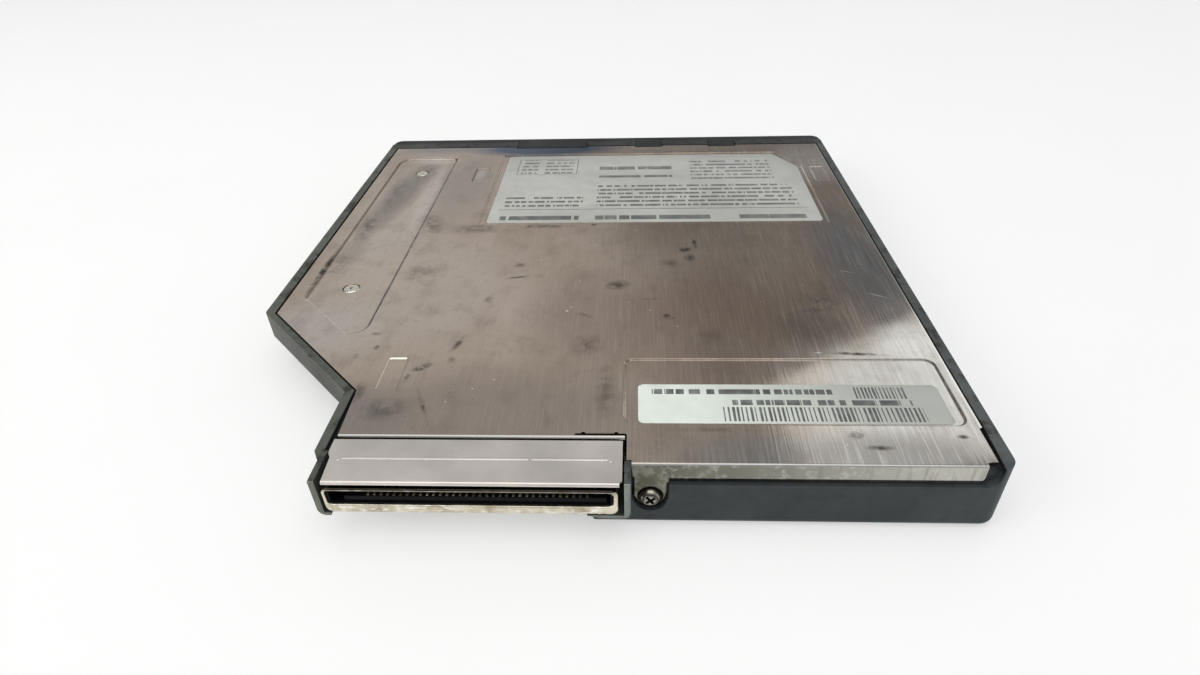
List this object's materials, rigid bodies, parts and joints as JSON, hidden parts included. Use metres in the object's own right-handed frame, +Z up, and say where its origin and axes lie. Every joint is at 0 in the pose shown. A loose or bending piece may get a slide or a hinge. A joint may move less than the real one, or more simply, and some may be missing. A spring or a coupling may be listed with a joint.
{
  "type": "external floppy disk drive",
  "caption": "Slim slot-loading floppy disk drive module with a brushed steel cover, a rear bay connector, a front eject button and a sprung slot door.",
  "frame": {"origin": "middle of the module's footprint, on the plane that it rests on", "axes": "+Z up through the labelled steel cover, +Y towards the front bezel with the disk slot, +X towards the side with the straight rail-free wall"},
  "size_m": [0.129, 0.1414, 0.0127],
  "materials": {
    "case_plastic": "dark grey moulded plastic, fine spark texture, rubbed along its edges",
    "cover_steel": "thin stainless sheet brushed front to back, handled and smudged",
    "shield_steel": "satin nickel-plated sheet",
    "shell_plate": "bright champagne-coloured plating, rolled edges",
    "socket_black": "black moulded insulator",
    "contact_gold": "gold-plated contacts",
    "label_paper": "pale grey coated label, satin",
    "screw_steel": "nickel-plated screws",
    "plated_steel": "zinc-plated sheet steel",
    "board_green": "green solder mask",
    "chip_black": "moulded chip packages",
    "film_amber": "amber polyimide film",
    "ribbon_white": "flat ribbon cable",
    "core_steel": "stacked core plates",
    "coil_copper": "enamelled copper windings",
    "bearing_bronze": "sintered bronze bush",
    "magnet_ferrite": "bonded ferrite ring",
    "bright_steel": "ground and polished steel",
    "die_cast": "die-cast carriage",
    "head_ceramic": "polished head slider",
    "roller_plastic": "natural acetal roller",
    "lens_green": "pale translucent light guide"
  },
  "bodies": {
    "case": {"housing_tray": "case_plastic", "front_bezel": "case_plastic", "top_cover": "cover_steel", "connector_shield": "shield_steel", "connector_shell": "shell_plate", "connector_body": "socket_black", "contact_pins": "contact_gold", "main_label": "label_paper", "serial_label": "label_paper", "rear_screw": "screw_steel", "cover_screws": "screw_steel", "chassis_screws": "screw_steel", "led_lens": "lens_green", "connector_board": "board_green", "connector_chips": "chip_black", "drive_chassis": "plated_steel", "insulating_sheet": "film_amber", "controller_board": "board_green", "controller_chips": "chip_black", "ribbon_cable": "ribbon_white", "motor_board": "board_green", "motor_driver_chip": "chip_black", "spindle_bearing": "bearing_bronze", "stator_core": "core_steel", "stator_coils": "coil_copper", "guide_rods": "bright_steel", "rod_clamps": "plated_steel", "stepper_motor": "plated_steel", "screw_bracket": "plated_steel", "latch_spring": "bright_steel", "slider_springs": "bright_steel", "door_spring": "bright_steel"},
    "door": {"slot_door": "case_plastic"},
    "spindle": {"spindle_shaft": "bright_steel", "rotor_cup": "plated_steel", "rotor_magnet": "magnet_ferrite", "chuck_plate": "bright_steel", "drive_roller": "roller_plastic"},
    "head_carriage": {"head_carriage": "die_cast", "lower_head": "head_ceramic", "arm_pin": "bright_steel"},
    "head_arm": {"upper_head_arm": "plated_steel", "upper_head": "head_ceramic"},
    "lead_screw": {"lead_screw": "bright_steel"},
    "eject_slider": {"cam_slider": "plated_steel", "eject_button": "case_plastic"},
    "disk_holder": {"disk_holder": "plated_steel", "holder_pins": "bright_steel"},
    "latch_lever": {"latch_lever": "plated_steel"}
  },
  "joints": [
    {"name": "door_swing", "type": "hinge", "parent": "case", "child": "door", "pos_m": [0.0125, 0.06825, 0.0113], "axis": [-1, 0, 0], "range_deg": [0, 85], "stiffness_Nm_per_rad": 0.0002},
    {"name": "spindle_spin", "type": "hinge", "parent": "case", "child": "spindle", "pos_m": [0.0125, 0.01835, 0.0035], "axis": [0, 0, 1], "continuous": true},
    {"name": "carriage_slide", "type": "slide", "parent": "case", "child": "head_carriage", "axis": [0, 1, 0], "range_m": [0, 0.0148]},
    {"name": "screw_spin", "type": "hinge", "parent": "case", "child": "lead_screw", "pos_m": [0.0395, -0.04225, 0.0066], "axis": [0, 1, 0], "range_deg": [0, 1425]},
    {"name": "eject_slide", "type": "slide", "parent": "case", "child": "eject_slider", "axis": [0, 1, 0], "range_m": [0, 0.0065], "deforming": ["slider_springs"]},
    {"name": "holder_drop", "type": "slide", "parent": "case", "child": "disk_holder", "axis": [0, 0, -1], "range_m": [0, 0.0022]},
    {"name": "arm_tilt", "type": "hinge", "parent": "head_carriage", "child": "head_arm", "pos_m": [0.0125, -0.05425, 0.0104], "axis": [-1, 0, 0], "range_deg": [0, 6.2]},
    {"name": "latch_swing", "type": "hinge", "parent": "case", "child": "latch_lever", "pos_m": [-0.0065, -0.03425, 0.008], "axis": [0, 0, 1], "range_deg": [0, 43], "stiffness_Nm_per_rad": 0.001, "deforming": ["latch_spring"]}
  ],
  "couplings": [
    {"joint": "screw_spin", "follows": "carriage_slide", "rad_per_m": 1675.5},
    {"joint": "holder_drop", "follows": "eject_slide", "ratio": 0.3384},
    {"joint": "arm_tilt", "follows": "eject_slide", "rad_per_m": 16.6}
  ]
}
